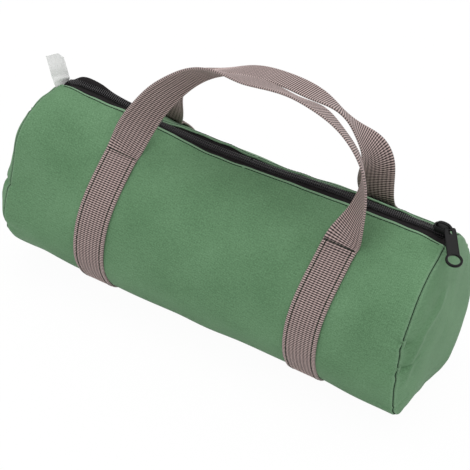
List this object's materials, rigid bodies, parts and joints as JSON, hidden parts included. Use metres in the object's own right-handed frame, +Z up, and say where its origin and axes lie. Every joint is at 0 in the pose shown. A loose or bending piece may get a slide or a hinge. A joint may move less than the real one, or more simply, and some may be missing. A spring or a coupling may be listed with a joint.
{
  "type": "wide-mouth tool bag",
  "caption": "Soft canvas barrel bag for tools with a full-length zip mouth, webbing straps round the body and a pair of webbing carrying handles.",
  "frame": {"origin": "middle of the bag's footprint, on the surface that it stands on", "axes": "+X along the bag towards the end where the closed slider sits, +Y from the front to the rear, +Z up"},
  "size_m": [0.323, 0.1314, 0.1992],
  "materials": {
    "green_canvas": "plain-woven cotton canvas, dyed green, soft and matt",
    "webbing": "woven polypropylene webbing, grey mauve, with a brick-like weave",
    "zip_tape": "woven black polyester zip tape",
    "nylon_coil": "black nylon coil",
    "black_enamel": "zinc casting with black enamel",
    "black_binding": "black seam binding tape",
    "white_ribbon": "blank white satin ribbon"
  },
  "bodies": {
    "barrel": {"main_panel": "green_canvas", "left_end_panel": "green_canvas", "right_end_panel": "green_canvas", "left_seam_binding": "black_binding", "right_seam_binding": "black_binding", "left_zip_end": "zip_tape", "right_zip_end": "zip_tape", "left_strap": "webbing", "right_strap": "webbing", "left_zip_end_front_coil": "nylon_coil", "left_zip_end_rear_coil": "nylon_coil", "right_zip_end_front_coil": "nylon_coil", "right_zip_end_rear_coil": "nylon_coil"},
    "slider": {"zip_slider": "black_enamel"},
    "pull": {"zip_pull": "black_enamel"},
    "front_handle": {"front_handle": "webbing"},
    "rear_handle": {"rear_handle": "webbing"},
    "tag": {"ribbon_tag": "white_ribbon"},
    "front_mouth_left": {"front_lip_left": "green_canvas", "front_tape_left": "zip_tape", "front_coil_left": "nylon_coil"},
    "front_mouth_middle": {"front_lip_middle": "green_canvas", "front_tape_middle": "zip_tape", "front_coil_middle": "nylon_coil"},
    "front_mouth_right": {"front_lip_right": "green_canvas", "front_tape_right": "zip_tape", "front_coil_right": "nylon_coil"},
    "rear_mouth_left": {"rear_lip_left": "green_canvas", "rear_tape_left": "zip_tape", "rear_coil_left": "nylon_coil"},
    "rear_mouth_middle": {"rear_lip_middle": "green_canvas", "rear_tape_middle": "zip_tape", "rear_coil_middle": "nylon_coil"},
    "rear_mouth_right": {"rear_lip_right": "green_canvas", "rear_tape_right": "zip_tape", "rear_coil_right": "nylon_coil"}
  },
  "joints": [
    {"name": "zip_slide", "type": "slide", "parent": "barrel", "child": "slider", "axis": [-1, 0, 0], "range_m": [0, 0.2785]},
    {"name": "pull_swing", "type": "hinge", "parent": "slider", "child": "pull", "pos_m": [0.14446, -0.00115, 0.1316], "axis": [-0.766, -0.6428, 0], "range_deg": [0, 195]},
    {"name": "front_mouth_fold", "type": "hinge", "parent": "barrel", "child": "front_mouth_middle", "pos_m": [0, -0.02915, 0.11169], "axis": [1, 0, 0], "range_deg": [0, 100]},
    {"name": "front_mouth_left_fold", "type": "hinge", "parent": "barrel", "child": "front_mouth_left", "pos_m": [0, -0.02915, 0.11169], "axis": [1, 0, 0], "range_deg": [0, 20]},
    {"name": "front_mouth_right_fold", "type": "hinge", "parent": "barrel", "child": "front_mouth_right", "pos_m": [0, -0.02915, 0.11169], "axis": [1, 0, 0], "range_deg": [0, 20]},
    {"name": "front_handle_swing", "type": "hinge", "parent": "barrel", "child": "front_handle", "pos_m": [0, -0.03021, 0.11302], "axis": [1, 0, 0], "range_deg": [0, 118]},
    {"name": "rear_mouth_fold", "type": "hinge", "parent": "barrel", "child": "rear_mouth_middle", "pos_m": [0, 0.02915, 0.11169], "axis": [-1, 0, 0], "range_deg": [0, 100]},
    {"name": "rear_mouth_left_fold", "type": "hinge", "parent": "barrel", "child": "rear_mouth_left", "pos_m": [0, 0.02915, 0.11169], "axis": [-1, 0, 0], "range_deg": [0, 20]},
    {"name": "rear_mouth_right_fold", "type": "hinge", "parent": "barrel", "child": "rear_mouth_right", "pos_m": [0, 0.02915, 0.11169], "axis": [-1, 0, 0], "range_deg": [0, 20]},
    {"name": "rear_handle_swing", "type": "hinge", "parent": "barrel", "child": "rear_handle", "pos_m": [0, 0.03021, 0.11302], "axis": [-1, 0, 0], "range_deg": [0, 118]},
    {"name": "tag_bend", "type": "hinge", "parent": "barrel", "child": "tag", "pos_m": [-0.15125, 0, 0.12535], "axis": [0, -1, 0], "range_deg": [-38, 62], "stiffness_Nm_per_rad": 0.001}
  ],
  "couplings": [
    {"joint": "front_mouth_left_fold", "follows": "front_mouth_fold", "ratio": 0.2},
    {"joint": "front_mouth_right_fold", "follows": "front_mouth_fold", "ratio": 0.2},
    {"joint": "rear_mouth_left_fold", "follows": "rear_mouth_fold", "ratio": 0.2},
    {"joint": "rear_mouth_right_fold", "follows": "rear_mouth_fold", "ratio": 0.2}
  ]
}
